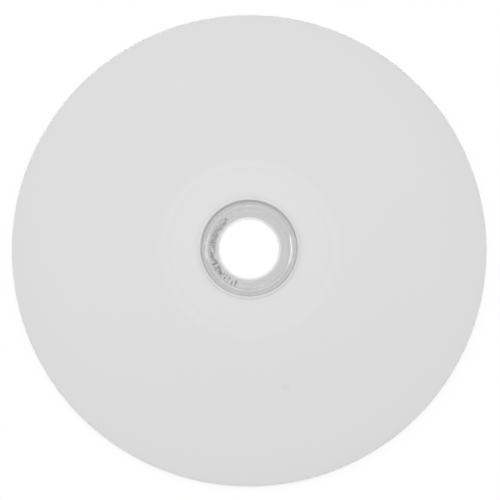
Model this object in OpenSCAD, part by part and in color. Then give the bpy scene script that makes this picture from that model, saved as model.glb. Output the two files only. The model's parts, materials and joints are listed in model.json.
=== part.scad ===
// Recordable compact disc with a clear moulded hub and a plain white print coat.
// The origin is on the disc's axis, in the plane that the disc rests on.
// +Z comes out of the label side. All sizes are in millimetres.

/* [Moulded disc] */
// Outer diameter
disc_d = 120; // [80:0.1:130]
// Thickness between the reading face and the label face
disc_t = 1.2; // [0.9:0.05:2]
// Bevel on both corners of the outer rim
rim_bevel = 0.15; // [0.05:0.05:0.3]

/* [Centre hole] */
// Diameter of the hole
hole_d = 15; // [6:0.05:17]
// Chamfer round the hole on the label side
hole_chamfer = 0.3; // [0.1:0.05:0.5]
// Small break round the hole on the reading side
hole_break = 0.15; // [0.05:0.05:0.3]

/* [Clear hub] */
// Mean diameter of the fine ring that the ejector sleeve leaves on the label side
witness_d = 19.9; // [18.6:0.1:20.1]
// Width of the witness ring
witness_w = 0.24; // [0.1:0.02:0.3]
// Depth of the witness ring
witness_depth = 0.05; // [0.02:0.01:0.1]
// Mean diameter of the moulded groove on the label side
groove_d = 21.7; // [21.1:0.1:22.4]
// Width of the groove at the face
groove_w = 0.56; // [0.4:0.02:0.66]
// Width of the groove's flat floor
groove_floor_w = 0.2; // [0.1:0.02:0.3]
// Depth of the groove
groove_depth = 0.12; // [0.05:0.01:0.2]

/* [Raised lip] */
// Diameter of the lip's inner foot, where the clear hub ends
lip_d = 23.7; // [23.2:0.1:24.4]
// Height of the lip over the label face
lip_h = 0.1; // [0.04:0.01:0.15]
// Width of the steep inner flank
lip_flank_w = 0.12; // [0.04:0.01:0.16]
// Width of the flat crest
lip_crest_w = 0.63; // [0.34:0.01:0.7]
// Width of the gentle outer slope down to the clamping flat
lip_slope_w = 0.4; // [0.3:0.01:0.8]

/* [Stacking ring] */
// Mean diameter of the ring under the disc
ring_d = 35; // [34.6:0.1:42]
// Width of the ring where it leaves the reading face
ring_base_w = 1.0; // [0.8:0.05:1.4]
// Width of the flat crest that the disc rests on
ring_crest_w = 0.5; // [0.3:0.05:0.7]
// Height of the ring
ring_h = 0.2; // [0.1:0.02:0.4]

/* [Recording film] */
// Inner diameter of the film
film_d = 40.6; // [38:0.2:60]
// Bare margin between the film and the rim
film_margin = 0.8; // [0.7:0.1:5]
// Thickness of dye, metal and lacquer together
film_t = 0.01; // [0.005:0.001:0.015]

/* [Print coat] */
// Distance from the inner edge of the lip's crest to the inner edge of the print
print_setback = 0.31; // [0.02:0.01:0.33]
// Bare margin between the print and the bevel of the rim
print_margin = 0.05; // [0.02:0.01:0.3]
// Thickness of the coat over the bare label face
print_t = 0.04; // [0.02:0.005:0.1]
// Width over which the coat runs out at both of its edges
print_feather_w = 0.08; // [0.02:0.01:0.14]

/* [Hidden] */
$fn = 180;

// Levels, from the plane that the disc rests on
crest_z = 0;
read_z = crest_z + ring_h;
label_z = read_z + disc_t;
lip_z = label_z + lip_h;
film_z = label_z + film_t;
print_z = label_z + print_t;

// Radii of the moulded disc
disc_r = disc_d / 2;
hole_r = hole_d / 2;
ring_r = ring_d / 2;
witness_r = witness_d / 2;
groove_r = groove_d / 2;
lip_foot_r = lip_d / 2;
lip_crest_r = lip_foot_r + lip_flank_w;
lip_shoulder_r = lip_crest_r + lip_crest_w;
lip_end_r = lip_shoulder_r + lip_slope_w;

// Radii of the film and the coat
film_in_r = film_d / 2;
film_out_r = disc_r - film_margin;
print_in_r = lip_crest_r + print_setback;
print_out_r = disc_r - rim_bevel - print_margin;
print_in_feather_w = min(print_feather_w, (lip_shoulder_r - print_in_r) / 2);

// Section points are [radius, height]. Each function gives one feature, in the order of a walk
// round the section: down the hole, outwards underneath, up the rim and inwards on top.
function hole_points() = [
    [hole_r + hole_chamfer, label_z],
    [hole_r, label_z - hole_chamfer],
    [hole_r, read_z + hole_break],
    [hole_r + hole_break, read_z]
];

function stacking_ring_points() = [
    [ring_r - ring_base_w / 2, read_z],
    [ring_r - ring_crest_w / 2, crest_z],
    [ring_r + ring_crest_w / 2, crest_z],
    [ring_r + ring_base_w / 2, read_z]
];

function rim_points() = [
    [disc_r - rim_bevel, read_z],
    [disc_r, read_z + rim_bevel],
    [disc_r, label_z - rim_bevel],
    [disc_r - rim_bevel, label_z]
];

function lip_points() = [
    [lip_end_r, label_z],
    [lip_shoulder_r, lip_z],
    [lip_crest_r, lip_z],
    [lip_foot_r, label_z]
];

function groove_points() = [
    [groove_r + groove_w / 2, label_z],
    [groove_r + groove_floor_w / 2, label_z - groove_depth],
    [groove_r - groove_floor_w / 2, label_z - groove_depth],
    [groove_r - groove_w / 2, label_z]
];

function witness_points() = [
    [witness_r + witness_w / 2, label_z],
    [witness_r, label_z - witness_depth],
    [witness_r - witness_w / 2, label_z]
];

// Injection-moulded disc of clear polycarbonate
module substrate() {
    color("gainsboro", 0.45)
        rotate_extrude()
            polygon(concat(
                hole_points(),
                stacking_ring_points(),
                rim_points(),
                lip_points(),
                groove_points(),
                witness_points()
            ));
}

// Dye, silver and lacquer, bonded to the label face as one film
module reflective_layer() {
    color("silver")
        translate([0, 0, label_z])
            rotate_extrude()
                translate([film_in_r, 0])
                    square([film_out_r - film_in_r, film_t]);
}

// White ink-receptive coat, printed over the film and down onto the bare plastic on both sides of it
module print_coat() {
    color("whitesmoke")
        rotate_extrude()
            polygon([
                [print_in_r, lip_z],
                [lip_shoulder_r, lip_z],
                [lip_end_r, label_z],
                [film_in_r, label_z],
                [film_in_r, film_z],
                [film_out_r, film_z],
                [film_out_r, label_z],
                [print_out_r, label_z],
                [print_out_r - print_feather_w, print_z],
                [lip_end_r, print_z],
                [lip_shoulder_r, lip_z + print_t],
                [print_in_r + print_in_feather_w, lip_z + print_t]
            ]);
}

substrate();
reflective_layer();
print_coat();
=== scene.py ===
# %% [markdown]
# A recordable compact disc, white side up
#
# The disc is three things bonded into one: a clear moulded disc, a mirror-like recording film on
# top of it, and a white print coat over the film. All three are bodies of revolution, so each is
# turned from a round blank, the way a lathe would face it: ring by ring, from the rim inwards.
# The sizes come from the frame, which holds the same three solids with their true measures.

# %% Load the frame
import json
import math
import random

import bmesh
import bpy
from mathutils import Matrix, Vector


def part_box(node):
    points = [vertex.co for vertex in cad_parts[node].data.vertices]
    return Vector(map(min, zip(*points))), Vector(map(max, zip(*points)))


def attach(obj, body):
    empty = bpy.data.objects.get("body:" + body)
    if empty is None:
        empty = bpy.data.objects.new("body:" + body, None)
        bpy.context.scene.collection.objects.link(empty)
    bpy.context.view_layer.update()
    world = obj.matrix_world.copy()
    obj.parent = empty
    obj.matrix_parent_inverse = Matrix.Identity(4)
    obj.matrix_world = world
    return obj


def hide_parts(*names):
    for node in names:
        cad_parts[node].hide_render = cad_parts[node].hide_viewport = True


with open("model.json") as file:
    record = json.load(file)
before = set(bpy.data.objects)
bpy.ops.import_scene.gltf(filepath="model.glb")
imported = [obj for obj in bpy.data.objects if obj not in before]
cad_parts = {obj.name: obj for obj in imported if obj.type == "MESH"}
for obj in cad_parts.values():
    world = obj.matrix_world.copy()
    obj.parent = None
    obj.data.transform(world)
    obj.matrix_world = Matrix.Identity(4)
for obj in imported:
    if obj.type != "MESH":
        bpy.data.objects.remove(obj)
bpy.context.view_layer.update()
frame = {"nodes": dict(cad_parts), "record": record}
print("frame holds", sorted(frame["nodes"]))

# %% [markdown]
# Measures. A drawing of a disc is in millimetres and Blender's scenes are in metres, so one value
# turns the first into the second. What the frame knows is read from it: the box of each solid
# gives a radius and two levels, and the mounts give the hole and the faces that a drive clamps.

# %% Measures from the frame
MM = 0.001

disc_low, disc_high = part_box("substrate")
film_low, film_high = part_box("reflective_layer")
_, coat_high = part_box("print_coat")
mounts = {mount["name"]: mount for mount in frame["record"]["mounts"]}

disc_r = max(disc_high[:2])
film_r = max(film_high[:2])
coat_r = max(coat_high[:2])
hole_r = mounts["spindle_bore"]["dims"]["r_mm"] * MM
rest_z = disc_low[2]
read_z = mounts["turntable_face"]["pos_m"][2]
coat_z = mounts["label_clamp_face"]["pos_m"][2]
lip_z = disc_high[2]
lip_coat_z = coat_high[2]
film_z = film_high[2]
label_z = film_low[2]
print("disc radius", round(disc_r / MM, 2), "mm, label face at", round(label_z / MM, 3), "mm")

# %% [markdown]
# The rest of the section. These are the radii and depths of the moulded details, which the frame
# can't tell: the chamfers of the hole, the fine ring that the mould's sleeve leaves, the groove,
# the raised lip that the print starts on, and the stacking ring under the disc.

# %% Measures of the moulded details
HOLE_CHAMFER = 0.3 * MM
HOLE_BREAK = 0.15 * MM
RIM_BEVEL = 0.15 * MM
WITNESS_R = 9.95 * MM
WITNESS_W = 0.24 * MM
WITNESS_DEPTH = 0.05 * MM
GROOVE_R = 10.85 * MM
GROOVE_W = 0.56 * MM
GROOVE_FLOOR_W = 0.2 * MM
GROOVE_DEPTH = 0.12 * MM
LIP_FOOT_R = 11.85 * MM
LIP_CREST_R = 11.97 * MM
LIP_SHOULDER_R = 12.6 * MM
LIP_END_R = 13.0 * MM
PRINT_IN_R = 12.28 * MM
PRINT_SHOULDER_R = 12.7 * MM
PRINT_SHIFT = 0.13 * MM
FEATHER_W = 0.08 * MM
FILM_IN_R = 20.3 * MM
DYE_IN_R = 22.5 * MM
RING_R = 17.5 * MM
RING_BASE_W = 1.0 * MM
RING_CREST_W = 0.5 * MM

# %% [markdown]
# The camera. The photograph looks down on the disc from nearly overhead. Its outline is a little
# flatter than a circle, which gives the tilt, and the hole sits a little above the middle of the
# outline, which gives the distance: the near half of a tilted disc looks larger. A long lens at
# that distance then makes the disc as large in the frame as it is in the photograph.

# %% Camera
PHOTO_PX = 500
SENSOR_W = 36.0
CAMERA_DISTANCE = 0.862
CAMERA_TILT = math.radians(6.9)
DISC_WIDTH_PX = 475.3
DISC_LEFT_PX = 0.87
DISC_UP_PX = 1.45
SIGHT_END = 20.0

bpy.ops.object.select_all(action="DESELECT")
bpy.ops.object.camera_add(
    location=(
        0,
        -CAMERA_DISTANCE * math.sin(CAMERA_TILT),
        coat_z + CAMERA_DISTANCE * math.cos(CAMERA_TILT),
    ),
    rotation=(CAMERA_TILT, 0, 0),
)
camera = bpy.context.object
camera.name = "photo_camera"
camera.data.sensor_width = SENSOR_W
camera.data.lens = SENSOR_W * DISC_WIDTH_PX / PHOTO_PX * CAMERA_DISTANCE / (2 * disc_r)
camera.data.shift_x = DISC_LEFT_PX / PHOTO_PX
camera.data.shift_y = -DISC_UP_PX / PHOTO_PX
camera.data.clip_end = SIGHT_END
bpy.context.scene.camera = camera
print("lens", round(camera.data.lens, 1), "mm")

# %% [markdown]
# Turning a blank. A cone primitive with hundreds of sides is the blank, and its flat ends are
# faced with the inset operator: the thickness of an inset is a step inwards and its depth is a
# step up or down, so a list of radii and heights is cut in the order in which a drawing reads.
# Spinning a drawn section would give the same mesh, but insets keep each step a separate cut.

# %% Turning tools
TURNS = 360
NEAR = 0.001 * MM
ROUND_SEGMENTS = 2
ROUND_OVER = math.radians(20)
SMOOTH_UNDER = math.radians(3)


def deselect_all():
    if bpy.context.object and bpy.context.object.mode != "OBJECT":
        bpy.ops.object.mode_set(mode="OBJECT")
    bpy.ops.object.select_all(action="DESELECT")


def turn_blank(name, low_r, high_r, low_z, high_z):
    """Adds a round blank with two flat ends, and leaves it in edit mode with nothing selected."""
    deselect_all()
    bpy.ops.mesh.primitive_cone_add(
        vertices=TURNS,
        radius1=low_r,
        radius2=high_r,
        depth=high_z - low_z,
        end_fill_type="NGON",
        location=(0, 0, (low_z + high_z) / 2),
    )
    bpy.context.object.name = name
    bpy.ops.object.transform_apply(location=True, rotation=False, scale=False)
    bpy.ops.object.mode_set(mode="EDIT")
    bpy.ops.mesh.select_mode(type="FACE")
    bpy.ops.mesh.select_all(action="DESELECT")
    return bpy.context.object


def select_end(piece, side):
    """Selects the flat end that faces up (side 1) or down (side -1)."""
    bpy.ops.mesh.select_all(action="DESELECT")
    work = bmesh.from_edit_mesh(piece.data)
    for face in work.faces:
        if len(face.verts) == TURNS and face.normal.z * side > 0:
            face.select_set(True)
    bmesh.update_edit_mesh(piece.data)


def face_end(piece, side, start, steps):
    """Walks an end inwards through steps of (radius, height), from start, which is its edge now."""
    select_end(piece, side)
    radius, height = start
    for next_radius, next_height in steps:
        bpy.ops.mesh.inset(thickness=radius - next_radius, depth=(next_height - height) * side)
        radius, height = next_radius, next_height


def open_hole(piece):
    """Takes both ends away and joins their edges with a wall."""
    for side in (1, -1):
        select_end(piece, side)
        bpy.ops.mesh.delete(type="ONLY_FACE")
    bpy.ops.mesh.select_mode(type="EDGE")
    bpy.ops.mesh.select_all(action="DESELECT")
    bpy.ops.mesh.select_non_manifold()
    bpy.ops.mesh.bridge_edge_loops()


def finish_turning(piece, edge_round):
    """Rounds every corner a little, points the faces outwards and shades the turns smooth."""
    bpy.ops.mesh.select_all(action="SELECT")
    bpy.ops.mesh.normals_make_consistent(inside=False)
    bpy.ops.object.mode_set(mode="OBJECT")
    if edge_round:
        rounding = piece.modifiers.new("edge_round", "BEVEL")
        rounding.width = edge_round
        rounding.segments = ROUND_SEGMENTS
        rounding.limit_method = "ANGLE"
        rounding.angle_limit = ROUND_OVER
        bpy.ops.object.modifier_apply(modifier=rounding.name)
    bpy.ops.object.shade_smooth_by_angle(angle=SMOOTH_UNDER)
    print(piece.name, len(piece.data.polygons), "faces")


def slope_curve(outer, inner, count):
    """Points of a soft slope between two (radius, height) ends, flat at both of them."""
    points = []
    for step in range(1, count + 1):
        along = step / count
        rise = (1 - math.cos(math.pi * along)) / 2
        radius = outer[0] + (inner[0] - outer[0]) * along
        points.append((radius, outer[1] + (inner[1] - outer[1]) * rise))
    return points


# %% [markdown]
# The clear disc. It is moulded in one shot from polycarbonate. The label side has the raised lip,
# the groove and the fine witness ring, all within a few hundredths of a millimetre, and the
# underside has the stacking ring that it rests on. They are small, but clear plastic shows every
# step as a bright or dark line, so each is cut here as real geometry.

# %% Clear disc
SLOPE_STEPS = 10
EDGE_ROUND = 0.012 * MM

clear_disc = turn_blank("clear_disc", disc_r, disc_r, read_z, label_z)
face_end(
    clear_disc,
    1,
    (disc_r, label_z),
    [(LIP_END_R, label_z)]
    + slope_curve((LIP_END_R, label_z), (LIP_SHOULDER_R, lip_z), SLOPE_STEPS)
    + [
        (LIP_CREST_R, lip_z),
        (LIP_FOOT_R, label_z),
        (GROOVE_R + GROOVE_W / 2, label_z),
        (GROOVE_R + GROOVE_FLOOR_W / 2, label_z - GROOVE_DEPTH),
        (GROOVE_R - GROOVE_FLOOR_W / 2, label_z - GROOVE_DEPTH),
        (GROOVE_R - GROOVE_W / 2, label_z),
        (WITNESS_R + WITNESS_W / 2, label_z),
        (WITNESS_R, label_z - WITNESS_DEPTH),
        (WITNESS_R - WITNESS_W / 2, label_z),
        (hole_r + HOLE_CHAMFER, label_z),
        (hole_r, label_z - HOLE_CHAMFER),
    ],
)
face_end(
    clear_disc,
    -1,
    (disc_r, read_z),
    [
        (RING_R + RING_BASE_W / 2, read_z),
        (RING_R + RING_CREST_W / 2, rest_z),
        (RING_R - RING_CREST_W / 2, rest_z),
        (RING_R - RING_BASE_W / 2, read_z),
        (hole_r + HOLE_BREAK, read_z),
        (hole_r, read_z + HOLE_BREAK),
    ],
)
open_hole(clear_disc)

# %% [markdown]
# The rim. Its two corners are still sharp, and a moulded disc has none: the edges of the blank are
# picked out by their radius and bevelled.


# %% Rim
RIM_SEGMENTS = 3


def select_ring(piece, radius, height):
    """Selects the ring of edges at a radius and height."""
    bpy.ops.mesh.select_mode(type="EDGE")
    bpy.ops.mesh.select_all(action="DESELECT")
    work = bmesh.from_edit_mesh(piece.data)
    for edge in work.edges:
        ends = [vert.co for vert in edge.verts]
        if all(abs(end.xy.length - radius) < NEAR and abs(end.z - height) < NEAR for end in ends):
            edge.select_set(True)
    bmesh.update_edit_mesh(piece.data)


for corner_z in (label_z, read_z):
    select_ring(clear_disc, disc_r, corner_z)
    bpy.ops.mesh.bevel(offset=RIM_BEVEL, segments=RIM_SEGMENTS, profile=0.5)
finish_turning(clear_disc, EDGE_ROUND)

# %% [markdown]
# The recording film. Dye, silver and lacquer are laid on the label face one after another and end
# up as one film a hundredth of a millimetre thick. Two faces in one place would flicker in the
# render, so the film starts a hair inside the plastic: light that comes up through the clear disc
# then meets the metal before it meets the top of the plastic, as it does on the real one.

# %% Recording film
SEATED = 0.003 * MM
seat_z = label_z - SEATED

film = turn_blank("recording_film", film_r, film_r, seat_z, film_z)
face_end(film, 1, (film_r, film_z), [(DYE_IN_R, film_z), (FILM_IN_R, film_z)])
face_end(film, -1, (film_r, seat_z), [(DYE_IN_R, seat_z), (FILM_IN_R, seat_z)])
open_hole(film)
finish_turning(film, 0)

# %% [markdown]
# The print coat. It is screen printed: flat and even, with a thin run-out at both edges, and at
# its inner edge it climbs the raised lip. Its underside steps up over the film and is otherwise
# seated a hair inside the plastic, for the same reason as the film. The screen never lands quite
# on the axis of the moulding, and the photograph shows it: the print's inner edge lies a little
# towards the far side, so more of the clear lip is bare there. Its three inner rings are moved.

# %% Print coat
coat = turn_blank("print_coat_face", coat_r, coat_r - FEATHER_W, seat_z, coat_z)
face_end(
    coat,
    1,
    (coat_r - FEATHER_W, coat_z),
    [(LIP_END_R, coat_z)]
    + slope_curve((LIP_END_R, coat_z), (PRINT_SHOULDER_R, lip_coat_z), SLOPE_STEPS)
    + [(PRINT_IN_R + FEATHER_W, lip_coat_z), (PRINT_IN_R, lip_z)],
)
face_end(
    coat,
    -1,
    (coat_r, seat_z),
    [
        (film_r + SEATED, seat_z),
        (film_r, film_z),
        (FILM_IN_R, film_z),
        (FILM_IN_R - SEATED, seat_z),
        (LIP_END_R, seat_z),
    ]
    + slope_curve((LIP_END_R, seat_z), (LIP_SHOULDER_R, lip_z - SEATED), SLOPE_STEPS)
    + [(PRINT_IN_R, lip_z - SEATED)],
)
open_hole(coat)

bpy.ops.mesh.select_mode(type="VERT")
bpy.ops.mesh.select_all(action="DESELECT")
work = bmesh.from_edit_mesh(coat.data)
for vert in work.verts:
    if vert.co.xy.length < PRINT_IN_R + FEATHER_W + NEAR:
        vert.select_set(True)
bmesh.update_edit_mesh(coat.data)
bpy.ops.transform.translate(value=(0, PRINT_SHIFT, 0))
bpy.ops.mesh.select_mode(type="FACE")
finish_turning(coat, EDGE_ROUND / 2)

# %% [markdown]
# The code band. The underside of the clear hub carries a row of small grey marks. They have no
# meaning: each column is one bar or two, which cover a part of the band's width. A bar is a
# rounded plate, modelled once and copied, and near the end of the row the columns stand wider
# apart, as in the photograph. The row is seeded, so it comes out the same each time.

# %% Code band
CODE_FROM = math.radians(128)
CODE_TO = math.radians(251)
CODE_SPARSE_FROM = math.radians(222)
CODE_R = 9.35 * MM
CODE_H = 1.6 * MM
CODE_T = 0.012 * MM
CODE_SEED = 300
BAR_CORNER = 0.12
DENSE_WIDTHS_MM, DENSE_GAPS_MM = (0.24, 0.52), (0.1, 0.3)
SPARSE_WIDTHS_MM, SPARSE_GAPS_MM = (0.3, 0.42), (0.4, 0.75)
COLUMNS = [
    [(0, 1)],
    [(0, 0.62)],
    [(0.38, 1)],
    [(0, 0.27), (0.5, 1)],
    [(0, 0.5), (0.73, 1)],
    [(0, 0.3), (0.7, 1)],
    [(0.25, 0.8)],
]

deselect_all()
bpy.ops.mesh.primitive_cube_add(size=1, location=(0, 0, 0))
bar_master = bpy.context.object
bpy.ops.object.mode_set(mode="EDIT")
bpy.ops.mesh.select_all(action="SELECT")
bpy.ops.mesh.bevel(offset=BAR_CORNER, segments=ROUND_SEGMENTS)
bpy.ops.object.mode_set(mode="OBJECT")


def place_bar(angle, low, high, width):
    """Copies the master bar to the underside of the hub, from low to high across the band."""
    radius, height = CODE_R + CODE_H * ((low + high) / 2 - 0.5), CODE_H * (high - low)
    deselect_all()
    bar_master.select_set(True)
    bpy.context.view_layer.objects.active = bar_master
    bpy.ops.object.duplicate()
    bar = bpy.context.object
    bar.scale = (height, width, CODE_T)
    bar.rotation_euler = (0, 0, angle)
    bar.location = (radius * math.cos(angle), radius * math.sin(angle), read_z - CODE_T / 2 + SEATED)
    return bar


draw = random.Random(CODE_SEED)
bars = []
angle = CODE_FROM
while angle < CODE_TO:
    sparse = angle > CODE_SPARSE_FROM
    width = draw.uniform(*(SPARSE_WIDTHS_MM if sparse else DENSE_WIDTHS_MM)) * MM
    for low, high in draw.choice(COLUMNS):
        bars.append(place_bar(angle, low, high, width))
    gap = draw.uniform(*(SPARSE_GAPS_MM if sparse else DENSE_GAPS_MM)) * MM
    angle += (width + gap) / CODE_R

deselect_all()
for bar in bars:
    bar.select_set(True)
bpy.context.view_layer.objects.active = bars[0]
bpy.ops.object.join()
hub_code = bpy.context.object
hub_code.name = "hub_code"
bpy.ops.object.transform_apply(location=True, rotation=True, scale=True)
bpy.data.objects.remove(bar_master)
print("code band of", len(bars), "bars")

# %% [markdown]
# Where on the disc. Most finishes here change with the distance from the axis: the print looks a
# touch darker over the metal, and the dye starts at its own radius. One node group turns Object
# coordinates into a radius in millimetres and a turn from 0 to 1, and those materials use it.


# %% Shared groups
def new_group(name, inputs, outputs):
    """An empty shader group with float inputs (name: value) and outputs, and its two end nodes."""
    group = bpy.data.node_groups.new(name, "ShaderNodeTree")
    for socket, value in inputs.items():
        made = group.interface.new_socket(socket, in_out="INPUT", socket_type="NodeSocketFloat")
        made.default_value = value
    for socket in outputs:
        group.interface.new_socket(socket, in_out="OUTPUT", socket_type="NodeSocketFloat")
    return group, group.nodes.new("NodeGroupInput"), group.nodes.new("NodeGroupOutput")


def math_node(tree, operation, first, second=None):
    """A Math node whose inputs are sockets or numbers. Returns its output."""
    node = tree.nodes.new("ShaderNodeMath")
    node.operation = operation
    for socket, value in zip(node.inputs, (first, second)):
        if isinstance(value, bpy.types.NodeSocket):
            tree.links.new(value, socket)
        elif value is not None:
            socket.default_value = value
    return node.outputs[0]


place, _, place_out = new_group("disc_place", {}, ("Radius", "Turn"))
coords = place.nodes.new("ShaderNodeTexCoord")
split_xyz = place.nodes.new("ShaderNodeSeparateXYZ")
place.links.new(coords.outputs["Object"], split_xyz.inputs[0])
x_socket, y_socket = split_xyz.outputs["X"], split_xyz.outputs["Y"]
x_square = math_node(place, "MULTIPLY", x_socket, x_socket)
y_square = math_node(place, "MULTIPLY", y_socket, y_socket)
squares = math_node(place, "ADD", x_square, y_square)
radius_mm = math_node(place, "MULTIPLY", math_node(place, "SQRT", squares), 1 / MM)
angle_part = math_node(place, "MULTIPLY", math_node(place, "ARCTAN2", y_socket, x_socket), 1 / math.tau)
place.links.new(radius_mm, place_out.inputs["Radius"])
place.links.new(math_node(place, "ADD", angle_part, 0.5), place_out.inputs["Turn"])

# %% [markdown]
# Grain. Ink, moulded plastic and metal film are never perfectly even. The second group is one fine
# noise and one broad noise, mixed, around zero. The size of the fine grain and the share of the
# broad noise are its inputs, so that each finish has its own.

# %% Grain group
FINE_DETAIL = 3
BROAD_SCALE = 60
BROAD_DETAIL = 2

grain, grain_in, grain_out = new_group("fine_grain", {"Grain mm": 0.2, "Broad share": 0.3}, ("Value",))
grain_coords = grain.nodes.new("ShaderNodeTexCoord")
fine = grain.nodes.new("ShaderNodeTexNoise")
fine.inputs["Detail"].default_value = FINE_DETAIL
grain.links.new(grain_coords.outputs["Object"], fine.inputs["Vector"])
grain.links.new(math_node(grain, "DIVIDE", 1 / MM, grain_in.outputs["Grain mm"]), fine.inputs["Scale"])
broad = grain.nodes.new("ShaderNodeTexNoise")
broad.inputs["Scale"].default_value = BROAD_SCALE
broad.inputs["Detail"].default_value = BROAD_DETAIL
grain.links.new(grain_coords.outputs["Object"], broad.inputs["Vector"])
grain_mix = grain.nodes.new("ShaderNodeMix")
grain.links.new(grain_in.outputs["Broad share"], grain_mix.inputs["Factor"])
grain.links.new(fine.outputs["Fac"], grain_mix.inputs[2])
grain.links.new(broad.outputs["Fac"], grain_mix.inputs[3])
grain.links.new(math_node(grain, "SUBTRACT", grain_mix.outputs[0], 0.5), grain_out.inputs["Value"])


# %% [markdown]
# Helpers for materials: a new material with its shader at hand, a group placed in it, a value
# that swings with the grain, and colour ramps. A ramp over the radius has its stops in
# millimetres, so that it reads like the disc itself from the hole to the rim.


# %% Material tools
def new_material(name):
    material = bpy.data.materials.new(name)
    material.use_nodes = True
    return material, material.node_tree, material.node_tree.nodes["Principled BSDF"]


def use_group(tree, group, **values):
    node = tree.nodes.new("ShaderNodeGroup")
    node.node_tree = group
    for socket, value in values.items():
        node.inputs[socket.replace("_", " ")].default_value = value
    return node


def grey(value):
    return (value, value, value, 1)


def swing(tree, grain_node, middle, amount):
    """A value that swings round a middle with the grain."""
    swings = math_node(tree, "MULTIPLY", grain_node.outputs["Value"], amount)
    return math_node(tree, "ADD", swings, middle)


def colour_ramp(tree, factor, stops):
    """A colour ramp whose stops are (position from 0 to 1, colour)."""
    ramp = tree.nodes.new("ShaderNodeValToRGB")
    elements = ramp.color_ramp.elements
    elements[0].color = stops[0][1]
    elements[1].color = stops[-1][1]
    for position, colour in stops[1:-1]:
        elements.new(position).color = colour
    tree.links.new(factor, ramp.inputs["Fac"])
    return ramp.outputs["Color"]


def ramp_over_radius(tree, place_node, stops):
    """A colour ramp whose stops are (radius in mm, colour)."""
    first, last = stops[0][0], stops[-1][0]
    spread = tree.nodes.new("ShaderNodeMapRange")
    spread.inputs["From Min"].default_value = first
    spread.inputs["From Max"].default_value = last
    tree.links.new(place_node.outputs["Radius"], spread.inputs["Value"])
    shares = [((radius - first) / (last - first), colour) for radius, colour in stops]
    return colour_ramp(tree, spread.outputs["Result"], shares)


def scale_colour(tree, colour, amount):
    """The colour times a value that changes over the surface."""
    node = tree.nodes.new("ShaderNodeVectorMath")
    node.operation = "SCALE"
    tree.links.new(colour, node.inputs[0])
    tree.links.new(amount, node.inputs["Scale"])
    return node.outputs[0]


def add_bump(tree, shader, grain_node, distance, strength):
    bump = tree.nodes.new("ShaderNodeBump")
    bump.inputs["Distance"].default_value = distance
    bump.inputs["Strength"].default_value = strength
    tree.links.new(grain_node.outputs["Value"], bump.inputs["Height"])
    tree.links.new(bump.outputs["Normal"], shader.inputs["Normal"])


# %% [markdown]
# The print coat's finish. It is a matt white made to drink ink, so it has almost no gloss. The
# white is not quite the same everywhere: it is painted darker near its inner edge, as painted
# shade, and it is darker towards the rim. It is a touch brighter over the bare plastic of the
# middle than over the metal, and there is a faint line where the metal starts. The photograph
# shows one small soft grey patch in the front half, as if the coat were thinner there, and it is here
# too.

# %% Print coat finish
WHITE = 0.73
# Print tone by radius in mm: the stops up to 13.7 mm are painted shade at the inner edge, and those
# from 48 mm on darken the print towards the rim.
PRINT_TONES_AND_PAINTED_SHADE = [
    (12.2, 0.9),
    (12.9, 0.945),
    (13.7, 0.988),
    (14.6, 1.008),
    (19.9, 1.005),
    (20.3, 0.989),
    (20.9, 1.005),
    (21.8, 1.008),
    (23.4, 0.985),
    (48.0, 0.978),
    (57.0, 0.962),
    (58.9, 0.956),
    (59.8, 0.943),
]
SPECK_AT = (9.1 * MM, -35.0 * MM)
SPECK_W = 1.7 * MM
SPECK_H = 1.3 * MM
SPECK_DEPTH = 0.06
FLECK_DEPTH = 0.03
COAT_ROUGH = 0.72
COAT_ROUGH_SWING = 0.2
COAT_GLOSS = 0.3
COAT_BUMP = 0.01 * MM
COAT_BUMP_STRENGTH = 0.35

coat_material, tree, shader = new_material("white_print")
coat_place = use_group(tree, place)
coat_grain = use_group(tree, grain, Grain_mm=0.12, Broad_share=0.25)
tones = [(radius, grey(WHITE * tone)) for radius, tone in PRINT_TONES_AND_PAINTED_SHADE]
tone = ramp_over_radius(tree, coat_place, tones)
flecks = swing(tree, coat_grain, 1, FLECK_DEPTH)

speck_coords = tree.nodes.new("ShaderNodeTexCoord")
speck_map = tree.nodes.new("ShaderNodeMapping")
speck_map.vector_type = "TEXTURE"
speck_map.inputs["Location"].default_value = (*SPECK_AT, coat_z)
speck_map.inputs["Scale"].default_value = (SPECK_W, SPECK_H, SPECK_W)
speck = tree.nodes.new("ShaderNodeTexGradient")
speck.gradient_type = "SPHERICAL"
tree.links.new(speck_coords.outputs["Object"], speck_map.inputs["Vector"])
tree.links.new(speck_map.outputs["Vector"], speck.inputs["Vector"])
thinner = math_node(tree, "SUBTRACT", 1, math_node(tree, "MULTIPLY", speck.outputs["Fac"], SPECK_DEPTH))

white = scale_colour(tree, tone, math_node(tree, "MULTIPLY", flecks, thinner))
tree.links.new(white, shader.inputs["Base Color"])
tree.links.new(swing(tree, coat_grain, COAT_ROUGH, COAT_ROUGH_SWING), shader.inputs["Roughness"])
shader.inputs["Specular IOR Level"].default_value = COAT_GLOSS
add_bump(tree, shader, coat_grain, COAT_BUMP, COAT_BUMP_STRENGTH)
coat.data.materials.append(coat_material)
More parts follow.
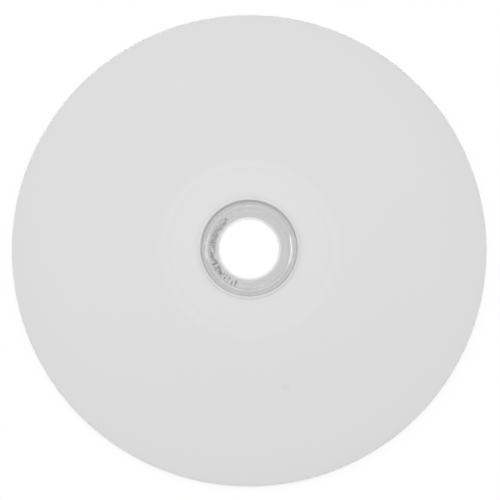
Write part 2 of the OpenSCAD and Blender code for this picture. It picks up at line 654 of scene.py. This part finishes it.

# %% [markdown]
# Clear polycarbonate. It bends light more than window glass, and it is not as clear as glass: the
# photograph shows the hub as a light grey against white. So a little of the light is scattered
# and not let through, which also shades the flanks of the groove. What passes is tinted grey, and
# this grey is in part painted shade, for the disc's shade on the surface below. Darker rings of it
# are painted shade too: a narrow ring round the hole, where the floor below glows more, a ring
# over the fine mould ring, one over the groove's outer flank, and a band on the lip at the print's
# inner edge, where the print's shadow falls. The edge of the hole and the rim have no grey, so they
# look brighter. The groove's floor is slightly matt.

# %% Clear plastic finish
PLASTIC_IOR = 1.585
PLASTIC_BUMP = 0.02 * MM
PLASTIC_BUMP_STRENGTH = 0.1
CLARITY = 0.92
CLEAR = 0.85
# Grey of the plastic by radius in mm: the stops below CLEAR are painted shade, and 1.0 leaves the grey
# off.
GREY_AND_PAINTED_SHADE = [
    (7.4, 1.0),
    (7.8, 1.0),
    (7.87, 0.72),
    (8.35, 0.71),
    (9.0, CLEAR),
    (9.7, CLEAR),
    (9.9, 0.8),
    (10.3, 0.82),
    (10.5, CLEAR),
    (10.7, CLEAR),
    (10.9, 0.84),
    (11.02, 0.77),
    (11.2, 0.78),
    (11.4, CLEAR),
    (11.8, CLEAR),
    (11.95, 0.72),
    (12.6, 0.72),
    (12.8, CLEAR),
    (59.2, CLEAR),
    (59.5, 1.0),
    (60.1, 1.0),
]
MATT_RINGS = [
    (7.4, 0.05),
    (10.7, 0.05),
    (10.76, 0.25),
    (10.94, 0.25),
    (11.0, 0.05),
    (60.1, 0.05),
]

clear_material, tree, shader = new_material("clear_plastic")
shader.inputs["Transmission Weight"].default_value = CLARITY
shader.inputs["IOR"].default_value = PLASTIC_IOR
clear_place = use_group(tree, place)
clear_grain = use_group(tree, grain, Grain_mm=1.5, Broad_share=0.5)
for rings, socket in ((GREY_AND_PAINTED_SHADE, "Base Color"), (MATT_RINGS, "Roughness")):
    stops = [(radius, grey(value)) for radius, value in rings]
    tree.links.new(ramp_over_radius(tree, clear_place, stops), shader.inputs[socket])
add_bump(tree, shader, clear_grain, PLASTIC_BUMP, PLASTIC_BUMP_STRENGTH)
clear_disc.data.materials.append(clear_material)

# %% [markdown]
# The recording film, seen from below through the plastic. Silver reflects nearly all of the
# light, and a thin dye over it gives the data area a pale tint. Its spiral track is far too fine
# to model. The rainbow that the track throws is painted into the colour, as a soft fan of pastel
# colour that follows the turn round the axis, and its highlights drawn out along the radius come
# from an anisotropic reflection.

# %% Recording film finish
SILVER = (0.86, 0.87, 0.88, 1)
DYE = (0.70, 0.80, 0.74, 1)
ZONES = [
    (20.2, SILVER),
    (22.3, SILVER),
    (22.5, DYE),
    (58.0, DYE),
    (58.4, SILVER),
    (59.3, SILVER),
]
# The painted rainbow: pastel colours that repeat round the axis.
PAINTED_RAINBOW = [
    (0.0, (1.0, 0.96, 0.9, 1)),
    (0.2, (0.92, 1.0, 0.92, 1)),
    (0.4, (0.88, 0.97, 1.0, 1)),
    (0.6, (0.94, 0.92, 1.0, 1)),
    (0.8, (1.0, 0.93, 0.96, 1)),
    (1.0, (1.0, 0.96, 0.9, 1)),
]
FAN_REPEATS = 4
FILM_ROUGH = 0.16
FILM_ROUGH_SWING = 0.06
DRAWN_OUT = 0.7
ACROSS_TRACK = 0.25

film_material, tree, shader = new_material("silver_and_dye")
film_place = use_group(tree, place)
film_grain = use_group(tree, grain, Grain_mm=0.6, Broad_share=0.6)
zones = ramp_over_radius(tree, film_place, ZONES)
repeats = math_node(tree, "MULTIPLY", film_place.outputs["Turn"], FAN_REPEATS)
painted_rainbow = colour_ramp(tree, math_node(tree, "FRACT", repeats), PAINTED_RAINBOW)
tint = tree.nodes.new("ShaderNodeMix")
tint.data_type = "RGBA"
tint.blend_type = "MULTIPLY"
tint.inputs["Factor"].default_value = 1
tree.links.new(zones, tint.inputs["A"])
tree.links.new(painted_rainbow, tint.inputs["B"])
tree.links.new(tint.outputs["Result"], shader.inputs["Base Color"])
tree.links.new(swing(tree, film_grain, FILM_ROUGH, FILM_ROUGH_SWING), shader.inputs["Roughness"])
shader.inputs["Metallic"].default_value = 1
shader.inputs["Anisotropic"].default_value = DRAWN_OUT
round_axis = tree.nodes.new("ShaderNodeTangent")
round_axis.direction_type = "RADIAL"
round_axis.axis = "Z"
tree.links.new(round_axis.outputs["Tangent"], shader.inputs["Tangent"])
shader.inputs["Anisotropic Rotation"].default_value = ACROSS_TRACK
film.data.materials.append(film_material)

# %% [markdown]
# The code band's finish: grey marks, matt and slightly uneven.

# %% Code band finish
CODE_DARK = 0.35
CODE_PALE = 0.68
CODE_ROUGH = 0.7

code_material, tree, shader = new_material("code_grey")
code_grain = use_group(tree, grain, Grain_mm=0.25, Broad_share=0.2)
dark = tree.nodes.new("ShaderNodeMix")
dark.data_type = "RGBA"
dark.inputs["A"].default_value = grey(CODE_DARK)
dark.inputs["B"].default_value = grey(CODE_PALE)
tree.links.new(math_node(tree, "ADD", code_grain.outputs["Value"], 0.5), dark.inputs["Factor"])
tree.links.new(dark.outputs["Result"], shader.inputs["Base Color"])
shader.inputs["Roughness"].default_value = CODE_ROUGH
hub_code.data.materials.clear()
hub_code.data.materials.append(code_material)

# %% [markdown]
# Each piece rides on the part's one body. Three of them take the place of the plain solids that
# they detail, and the code band is added to the hub.

# %% Riding and replacing
for piece, slot_name in (
    (clear_disc, "clear_polycarbonate"),
    (film, "silver_film"),
    (coat, "white_print_coat"),
    (hub_code, "clear_polycarbonate"),
):
    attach(piece, "root")
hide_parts("substrate")
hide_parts("reflective_layer")
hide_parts("print_coat")

# %% [markdown]
# The floor. The photograph's background is pure white, right up to the disc and inside its hole,
# and the clear hub shows the surface below it in the disc's own shade. So the floor is a plain
# pale surface to the light, and to the camera, in reflections and through the plastic it is a lit
# white that also glows: wholly in the open hole, least under the hub, more towards the rim, and
# wholly again once it is clear of the disc. From below it is left out of sight, with its mirror
# image, so that a camera down there sees the underside of the disc.


# %% Floor
def seen_first(tree):
    """A Light Path node, and a value: 1 for what the camera sees, also mirrored or through
    plastic, and 0 once the ray has met a matt surface."""
    paths = tree.nodes.new("ShaderNodeLightPath")
    seen = paths.outputs["Is Camera Ray"]
    for ray in ("Is Glossy Ray", "Is Transmission Ray"):
        seen = math_node(tree, "MAXIMUM", seen, paths.outputs[ray])
    before_bounce = math_node(tree, "LESS_THAN", paths.outputs["Diffuse Depth"], 0.5)
    return paths, math_node(tree, "MULTIPLY", seen, before_bounce)


def mix_shaders(tree, share, first, second):
    """The first shader where the share is 0, and the second where it is 1."""
    node = tree.nodes.new("ShaderNodeMixShader")
    for socket, value in zip(node.inputs, (share, first, second)):
        tree.links.new(value, socket)
    return node.outputs[0]


FLOOR_SIZE = 6.0
FLOOR_PALE = 0.5
GLOW_SHARE = 0.42
GLOW = [
    (0, 1.0),
    (7.7, 1.0),
    (8.3, 0.75),
    (9.0, GLOW_SHARE),
    (15, GLOW_SHARE),
    (59.5, 0.8),
    (60.3, 0.93),
    (85, 1.0),
]

deselect_all()
bpy.ops.mesh.primitive_plane_add(size=FLOOR_SIZE, location=(0, 0, rest_z))
floor = bpy.context.object
floor.name = "floor"

floor_material, tree, shader = new_material("floor_white")
tree.nodes.remove(shader)
pale = tree.nodes.new("ShaderNodeBsdfDiffuse")
pale.inputs["Color"].default_value = grey(FLOOR_PALE)
lit = tree.nodes.new("ShaderNodeBsdfDiffuse")
lit.inputs["Color"].default_value = grey(1)
glow = tree.nodes.new("ShaderNodeEmission")
gone = tree.nodes.new("ShaderNodeBsdfTransparent")

fade = ramp_over_radius(tree, use_group(tree, place), [(radius, grey(share)) for radius, share in GLOW])
near_look = mix_shaders(tree, fade, lit.outputs[0], glow.outputs[0])
paths, seen = seen_first(tree)
floor_look = mix_shaders(tree, seen, pale.outputs[0], near_look)

facing = tree.nodes.new("ShaderNodeNewGeometry")
came_through = math_node(tree, "GREATER_THAN", paths.outputs["Transparent Depth"], 0.5)
from_below = math_node(tree, "MAXIMUM", facing.outputs["Backfacing"], came_through)
floor_sides = mix_shaders(tree, from_below, floor_look, gone.outputs[0])
tree.links.new(floor_sides, tree.nodes["Material Output"].inputs["Surface"])
floor.data.materials.append(floor_material)

# %% [markdown]
# Light. A large soft lamp stands behind the disc, so that the far half is a little brighter, and
# two low strips stand at the sides: their glints pick out the moulded groove. The world fills the
# rest, and its lower half is fully lit, for a camera that looks at the disc from below. Such a
# camera would see a lamp straight through the clear hub, as a glare that hides its rings, so on
# that way the lamps are out. Together they light a flat face so that a colour renders about as
# it is written.

# %% Lamps and world
WORLD_LIGHT = 0.375
# Name, size, power, azimuth in degrees from +X towards +Y, elevation in degrees, distance
LAMPS = [
    ("back_softbox", (0.9, 0.9), 10.3, 97, 62, 1.4),
    ("right_strip", (1.1, 0.06), 2.5, -6, 22.8, 1.0),
    ("left_strip", (0.6, 0.4), 3.3, 170, 24, 1.0),
]


def add_lamp(name, size, power, azimuth, elevation, distance):
    """An area lamp that looks at the disc."""
    deselect_all()
    turn, rise = math.radians(azimuth), math.radians(elevation)
    spot = (
        distance * math.cos(rise) * math.cos(turn),
        distance * math.cos(rise) * math.sin(turn),
        distance * math.sin(rise),
    )
    aim = (math.pi / 2 - rise, 0, turn + math.pi / 2)
    bpy.ops.object.light_add(type="AREA", location=spot, rotation=aim)
    lamp = bpy.context.object
    lamp.name = name
    lamp.data.shape = "RECTANGLE"
    lamp.data.size, lamp.data.size_y = size
    lamp.data.energy = power
    lamp.data.use_nodes = True
    tree = lamp.data.node_tree
    paths = tree.nodes.new("ShaderNodeLightPath")
    straight = math_node(tree, "GREATER_THAN", paths.outputs["Transmission Depth"], 0.5)
    for depth in ("Diffuse Depth", "Glossy Depth"):
        unturned = math_node(tree, "LESS_THAN", paths.outputs[depth], 0.5)
        straight = math_node(tree, "MULTIPLY", straight, unturned)
    tree.links.new(math_node(tree, "SUBTRACT", 1, straight), tree.nodes["Emission"].inputs["Strength"])


for lamp_values in LAMPS:
    add_lamp(*lamp_values)

world = bpy.data.worlds.new("studio")
bpy.context.scene.world = world
world.use_nodes = True
tree = world.node_tree
background = tree.nodes["Background"]
background.inputs["Color"].default_value = grey(1)
_, seen = seen_first(tree)
direction = tree.nodes.new("ShaderNodeTexCoord")
heights = tree.nodes.new("ShaderNodeSeparateXYZ")
tree.links.new(direction.outputs["Generated"], heights.inputs[0])
lower_half = math_node(tree, "LESS_THAN", heights.outputs["Z"], 0)
level = tree.nodes.new("ShaderNodeMix")
tree.links.new(math_node(tree, "MAXIMUM", seen, lower_half), level.inputs["Factor"])
level.inputs[2].default_value = WORLD_LIGHT
level.inputs[3].default_value = 1
tree.links.new(level.outputs[0], background.inputs["Strength"])
bpy.context.scene.view_settings.view_transform = "Standard"
